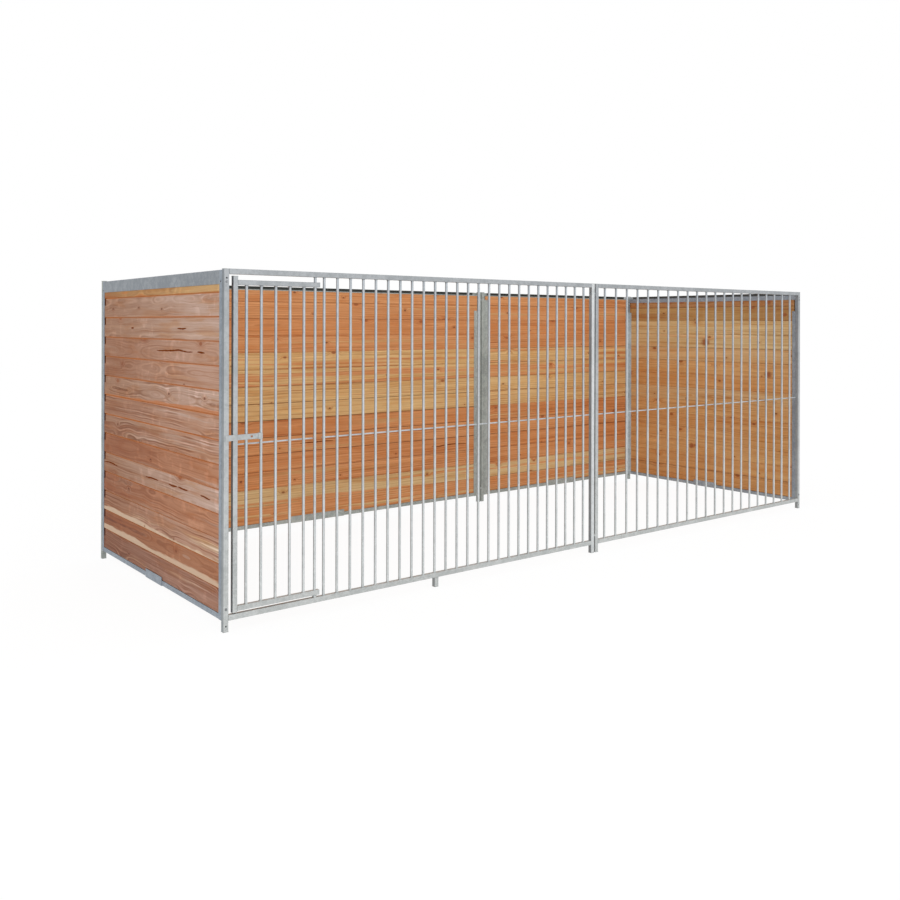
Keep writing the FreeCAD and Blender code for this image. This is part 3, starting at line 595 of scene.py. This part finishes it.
def ringedTone(tree, wall, board, radius, figure, tone):
    lateWood, earlyWood = ringMasks(tree, board, radius, wall["ringStep"])
    fineLate, fineEarly = ringMasks(tree, board, radius, wall["ringStep"] / wall["fineRings"])
    pale, dark = figureLook["paleTint"], figureLook["darkTint"]
    if wall["weathered"]:
        # the figure comes and goes along the board
        showing = boardNoise(tree, board, figureLook["paces"], board["course"], 2.0)
        deep = product(tree, figure, smooth(tree, showing, *figureLook["range"]))
        tone = tint(tree, tone, product(tree, earlyWood, deep, figureLook["paleShare"]), pale)
        tone = tint(tree, tone, product(tree, fineEarly, deep, figureLook["fineShare"]), pale)
        tone = tint(tree, tone, product(tree, fineLate, deep, figureLook["fineShare"]), dark)
    else:
        freshLuck = board["moreLuck"][2]
        deep = calc(tree, "MULTIPLY_ADD", freshLuck, figureLook["freshSpread"], figureLook["freshLeast"])
    tone = tint(tree, tone, product(tree, lateWood, deep, wall["ringDepth"]), dark)
    tone = tint(tree, tone, scaled(tree, fineLate, figureLook["allFineShare"]), figureLook["allFineTint"])
    return tone, lateWood


fibreLook = {
    "paces": (7.0, 420.0), "depthPace": 300.0, "range": (0.35, 0.7, 0.0, 0.3), "tint": (0.74, 0.64, 0.56),
}
flameLook = {
    "paces": (15.0, 14.0), "span": (0.5, 0.66), "clusterAlong": 2.6, "clusterUp": 3.3,
    "clusterSpan": (0.42, 0.58), "share": 0.85, "tint": (1.22, 1.27, 1.34),
}


def flameMask(tree, board):
    # short pale flames in clusters on the outside
    flame = boardNoise(tree, board, flameLook["paces"], board["course"], 2.0)
    clusterAlong = scaled(tree, board["ownAlong"], flameLook["clusterAlong"])
    clusterUp = scaled(tree, board["course"], flameLook["clusterUp"])
    cluster = smooth(tree, grainNoise(tree, clusterAlong, clusterUp, 0.0, 2.0), *flameLook["clusterSpan"])
    return product(tree, smooth(tree, flame, *flameLook["span"]), cluster, board["isOutside"])


seamLook = {
    "reach": 0.0045, "darkInner": 0.45, "darkRange": (0.45, 0.9, 0.0, 0.58),
    "freshOuter": 1.4, "freshInner": 0.6, "freshLuck": 0.4, "fadePace": 2.3,
    "fadeRange": (0.35, 0.6, 0.25, 0.6), "lowRange": (2.0, 6.0, 0.5, 1.0),
}


def seamedTone(tree, board, isInside, tone):
    # a thin dark line inside, a fresh orange bevel outside that fades along the board and lower down
    course, luck, reach = board["course"], board["moreLuck"], seamLook["reach"]
    fromSeam = calc(tree, "SUBTRACT", boardStack["cover"] / 2, calc(tree, "ABSOLUTE", board["across"]))
    darkLine = smooth(tree, fromSeam, reach, reach * seamLook["darkInner"])
    darkLine = product(tree, darkLine, isInside, smooth(tree, luck[0], *seamLook["darkRange"]))
    tone = blend(tree, darkLine, tone, toLinear(tones["seamDark"]))
    fresh = smooth(tree, fromSeam, reach * seamLook["freshOuter"], reach * seamLook["freshInner"])
    fading = grainNoise(tree, scaled(tree, board["ownAlong"], seamLook["fadePace"]), course)
    fading = smooth(tree, fading, *seamLook["fadeRange"])
    share = calc(tree, "ADD", scaled(tree, luck[1], seamLook["freshLuck"]), fading)
    fresh = product(tree, fresh, board["isOutside"], share, smooth(tree, course, *seamLook["lowRange"]))
    return blend(tree, fresh, tone, toLinear(tones["seamOrange"]))


endLook = {
    "shadeReach": 0.026, "shadeSoft": 0.003, "upperSpan": (0.012, 0.02), "topCourse": 12.5, "flangeSoft": 0.002,
    "share": 0.92,
}


def endShade(tree, wallName, board):
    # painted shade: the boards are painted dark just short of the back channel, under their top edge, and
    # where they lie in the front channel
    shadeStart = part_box(wallName + "_back_channel")[0].y - endLook["shadeReach"]
    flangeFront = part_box(wallName + "_front_channel")[1].y
    nearBackChannel = smooth(tree, board["along"], shadeStart, shadeStart + endLook["shadeSoft"])
    upper = smooth(tree, board["across"], *endLook["upperSpan"])
    belowTop = calc(tree, "LESS_THAN", board["course"], endLook["topCourse"])
    covered = smooth(tree, board["along"], flangeFront, flangeFront - endLook["flangeSoft"])
    # painted shade near the back channel, joined with the painted shade under the front channel's flange
    gap = product(tree, nearBackChannel, board["isOutside"], upper, belowTop)
    return calc(tree, "MAXIMUM", gap, covered)


boardFinish = {
    "sheen": 0.3, "roughness": 0.55, "fibreRough": 0.2, "ringRelief": 0.5, "fibreRelief": 0.8,
    "bump": (0.3, 0.0012),
}


def boardMaterial(wallName, wall):
    material, tree, shader = newMaterial(wallName + "Larch")
    board = boardPlaces(tree, wallName, wall)
    isInside = calc(tree, "SUBTRACT", 1.0, board["isOutside"])
    core, halo, coreTone = knotMasks(tree, wall, board)
    radius = pithDistance(tree, wall, board, halo)
    tone, figure = heartAndSap(tree, wall, board, radius)
    tone = patchedTone(tree, wall, board, radius, tone)
    tone, lateWood = ringedTone(tree, wall, board, radius, figure, tone)
    fibreIn = scaled(tree, board["outward"], fibreLook["depthPace"])
    fibre = boardNoise(tree, board, fibreLook["paces"], fibreIn, 4.0, 0.6)
    tone = tint(tree, tone, smooth(tree, fibre, *fibreLook["range"]), fibreLook["tint"])
    tone = tint(tree, tone, scaled(tree, flameMask(tree, board), flameLook["share"]), flameLook["tint"])
    for level, edgeTone, frontWidth, backWidth in wall["edges"]:
        edge = edgeMask(tree, board, level, frontWidth, backWidth)
        tone = blend(tree, scaled(tree, edge, edgeLook["share"]), tone, toLinear(tones[edgeTone]))
    tone = tint(tree, tone, scaled(tree, halo, knotLook["haloShare"]), knotLook["haloTint"])
    tone = blend(tree, scaled(tree, core, knotLook["coreShare"]), tone, coreTone)
    if wall["bigKnots"]:
        soft = product(tree, bigKnotMask(tree, wall, board), isInside, bigKnotLook["share"])
        tone = blend(tree, soft, tone, toLinear(tones["knotRusset"]))
    tone = seamedTone(tree, board, isInside, tone)
    ringRelief = scaled(tree, lateWood, boardFinish["ringRelief"])
    relief = calc(tree, "ADD", ringRelief, scaled(tree, fibre, boardFinish["fibreRelief"]))
    sheen = boardFinish["sheen"]
    if wall["cracks"]:
        crackedFace = board["isOutside"] if wall["weathered"] else isInside
        crack = product(tree, crackMask(tree, wall, board), crackedFace)
        tone = blend(tree, crack, tone, toLinear(tones["crackBrown"]))
        relief = calc(tree, "MULTIPLY_ADD", crack, -crackLook["depth"], relief)
        sheen = calc(tree, "MULTIPLY_ADD", crack, -sheen, sheen)
    if wall["weathered"]:
        # painted shade at the board ends, without sheen
        dark = endShade(tree, wallName, board)
        tone = blend(tree, scaled(tree, dark, endLook["share"]), tone, toLinear(tones["endShadeBrown"]))
        sheen = product(tree, sheen, calc(tree, "SUBTRACT", 1.0, dark))
    feed(tree, shader.inputs["Base Color"], tone)
    rough = calc(tree, "MULTIPLY_ADD", fibre, boardFinish["fibreRough"], boardFinish["roughness"])
    feed(tree, shader.inputs["Roughness"], rough)
    feed(tree, shader.inputs["Specular IOR Level"], sheen)
    bumped(tree, shader, relief, *boardFinish["bump"])
    return material


# grey plastic of the plugs, the stile's cap and the bushes

plastic = {
    "tint": (172, 176, 176), "worn": (146, 150, 150), "roughness": 0.55,
    "mottle": (60.0, 3.0), "wornRange": (0.35, 0.7, 0.0, 0.6),
    "pimples": (900.0, 2.0), "bump": (0.1, 0.0004),
}
plasticPieces = ("top_plugs", "foot_plugs", "door_stile_cap", "door_bushes")


def plasticMaterial(name, look):
    material, tree, shader = newMaterial(name)
    place = ownPlace(tree)
    worn = smooth(tree, cloud(tree, place, *look["mottle"]), *look["wornRange"])
    tone = blend(tree, worn, toLinear(look["tint"]), toLinear(look["worn"]))
    feed(tree, shader.inputs["Base Color"], tone)
    shader.inputs["Roughness"].default_value = look["roughness"]
    bumped(tree, shader, cloud(tree, place, *look["pimples"]), *look["bump"])
    return material


# which piece gets which finish

pieceZinc = {
    "frame_bolts": "boltZinc", "frame_nuts": "boltZinc",
    "door_panel_right_post": "middleZinc", "bar_panel_left_post": "seamZinc",
    "right_wall_top_angle": "rightAngleZinc",
    "right_wall_back_channel": "paintedLightCornerZinc", "back_right_wall_right_channel": "paintedLightCornerZinc",
}


def zincOf(name):
    if name in pieceZinc:
        return pieceZinc[name]
    if name.endswith("_top_angle"):
        return "angleZinc"
    if name.startswith("right_wall_bottom_"):
        return "rightZinc"
    if name.startswith("back_"):
        return "backZinc"
    if "_wall_" in name:
        return "wallZinc"
    if name.endswith(("_bars", "_rod", "pivot_bar")):
        return "barZinc"
    return "frameZinc"


zincMaterials = {name: zincMaterial(name, look) for name, look in zincLooks.items()}
greyPlastic = plasticMaterial("greyPlastic", plastic)
for name in nodes:
    if name in plasticPieces:
        dress(name, greyPlastic)
    elif not name.endswith("_boards"):
        dress(name, zincMaterials[zincOf(name)])
for wallName, wall in boardWalls.items():
    dress(wallName + "_boards", boardMaterial(wallName, wall))
print("materials on", len(nodes), "nodes")


# weld beads where the bars meet their rails

weld = {"leg": 0.0034, "uneven": 0.35, "steps": 14, "sink": 0.0004, "bulge": 0.62, "seed": 12}

weldedBars = {
    "door_panel_bars": {"count": 25, "body": "kennel", "ends": (0, 1)},
    "bar_panel_bars": {"count": 21, "body": "kennel", "ends": (0, 1)},
    "pivot_bar": {"count": 1, "body": "kennel", "ends": (1,)},
    "door_bars": {"count": 5, "body": "door", "ends": (0, 1)},
}


def addBead(shape, luck, x, y, z, barRadius, upward):
    rings = []
    for step in range(weld["steps"]):
        angle = 2 * math.pi * step / weld["steps"]
        leg = weld["leg"] * (1 + weld["uneven"] * (luck.random() - 0.5))
        outline = [
            (barRadius - weld["sink"], -weld["sink"]),
            (barRadius + leg, -weld["sink"]),
            (barRadius + leg * weld["bulge"], leg * weld["bulge"]),
            (barRadius - weld["sink"], leg),
        ]
        ring = []
        for reach, rise in outline:
            spot = (x + reach * math.cos(angle), y + reach * math.sin(angle), z + upward * rise)
            ring.append(shape.verts.new(spot))
        rings.append(ring)
    for ring, following in zip(rings, rings[1:] + rings[:1]):
        for corner in range(len(ring)):
            after = (corner + 1) % len(ring)
            shape.faces.new((ring[corner], following[corner], following[after], ring[after]))


def makeWeldBeads(barName, plan):
    luck = random.Random(weld["seed"] + plan["count"])
    low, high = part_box(barName)
    barRadius = (high.y - low.y) / 2
    pitch = (high.x - low.x - 2 * barRadius) / max(plan["count"] - 1, 1)
    shape = bmesh.new()
    for index in range(plan["count"]):
        x = low.x + barRadius + pitch * index
        for end in plan["ends"]:
            addBead(shape, luck, x, (low.y + high.y) / 2, (low.z, high.z)[end], barRadius, (1, -1)[end])
    bmesh.ops.recalc_face_normals(shape, faces=shape.faces)
    for face in shape.faces:
        face.smooth = True
    mesh = bpy.data.meshes.new(barName + "_welds")
    shape.to_mesh(mesh)
    shape.free()
    mesh.materials.append(zincMaterials["frameZinc"])
    beads = bpy.data.objects.new(barName + "_welds", mesh)
    bpy.context.scene.collection.objects.link(beads)
    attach(beads, plan["body"])


for barName, plan in weldedBars.items():
    makeWeldBeads(barName, plan)
print("weld beads on", len(weldedBars), "sets of bars")


# floor, light and camera

studio = {
    "worldStrength": 0.75,
    "floorSize": 60.0,
    "floorShade": (0.9, 0.9, 0.9, 1),
    "floorRoughness": 0.9,
    "floorGlow": 1.04,
    "shadowShare": 0.12,
    "lamps": {
        "frontLamp": {"at": (-3.0, -14.0, 4.5), "to": (0.0, 0.0, 0.8), "size": 8.0, "power": 640},
        "sideLamp": {"at": (-20.0, -5.0, 9.0), "to": (-1.0, 0.0, 0.9), "size": 9.0, "power": 270},
    },
}


def aim(piece, target):
    piece.rotation_euler = (Vector(target) - piece.location).to_track_quat("-Z", "Y").to_euler()


def cameraSeen(tree):
    path = tree.nodes.new("ShaderNodeLightPath")
    seen = calc(tree, "MAXIMUM", path.outputs["Is Camera Ray"], path.outputs["Is Glossy Ray"])
    return calc(tree, "MAXIMUM", seen, path.outputs["Is Transmission Ray"])


def makeWorld():
    world = bpy.data.worlds.new("softDaylight")
    world.use_nodes = True
    tree = world.node_tree
    background = tree.nodes["Background"]
    background.inputs["Color"].default_value = (1, 1, 1, 1)
    strength = smooth(tree, cameraSeen(tree), 0.0, 1.0, studio["worldStrength"], 1.0)
    tree.links.new(strength, background.inputs["Strength"])
    bpy.context.scene.world = world


def makeFloor():
    half = studio["floorSize"] / 2
    mesh = bpy.data.meshes.new("floor")
    corners = [(-half, -half, 0), (half, -half, 0), (half, half, 0), (-half, half, 0)]
    mesh.from_pydata(corners, [], [(0, 1, 2, 3)])
    floor = bpy.data.objects.new("floor", mesh)
    bpy.context.scene.collection.objects.link(floor)
    material, tree, shader = newMaterial("paleFloor")
    shader.inputs["Base Color"].default_value = studio["floorShade"]
    shader.inputs["Roughness"].default_value = studio["floorRoughness"]
    glow = tree.nodes.new("ShaderNodeEmission")
    glow.inputs["Strength"].default_value = studio["floorGlow"]
    mix = tree.nodes.new("ShaderNodeMixShader")
    output = tree.nodes["Material Output"]
    feed(tree, mix.inputs[0], scaled(tree, cameraSeen(tree), 1 - studio["shadowShare"]))
    tree.links.new(shader.outputs[0], mix.inputs[1])
    tree.links.new(glow.outputs[0], mix.inputs[2])
    tree.links.new(mix.outputs[0], output.inputs["Surface"])
    mesh.materials.append(material)


def makeLamp(name, look):
    data = bpy.data.lights.new(name, "AREA")
    data.size = look["size"]
    data.energy = look["power"]
    lamp = bpy.data.objects.new(name, data)
    bpy.context.scene.collection.objects.link(lamp)
    lamp.location = look["at"]
    aim(lamp, look["to"])


makeWorld()
makeFloor()
for lampName, look in studio["lamps"].items():
    makeLamp(lampName, look)

photoCamera = {
    "fromCorner": (-2.0165, -4.3985, 1.5645),
    "turn": -38.2394,
    "roll": -0.16,
    "sensor": 36.0,
    "lens": 37.311,
    "shiftY": -0.1406,
}

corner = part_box("door_panel_left_post")[0]
cameraData = bpy.data.cameras.new("photoCamera")
cameraData.sensor_width = photoCamera["sensor"]
cameraData.lens = photoCamera["lens"]
cameraData.shift_y = photoCamera["shiftY"]
camera = bpy.data.objects.new("photoCamera", cameraData)
bpy.context.scene.collection.objects.link(camera)
fromCorner = photoCamera["fromCorner"]
camera.location = (corner.x + fromCorner[0], corner.y + fromCorner[1], fromCorner[2])
camera.rotation_euler = [math.radians(turn) for turn in (90, photoCamera["roll"], photoCamera["turn"])]
bpy.context.scene.camera = camera
bpy.context.scene.view_settings.view_transform = "Standard"
print("floor, lamps and camera placed")
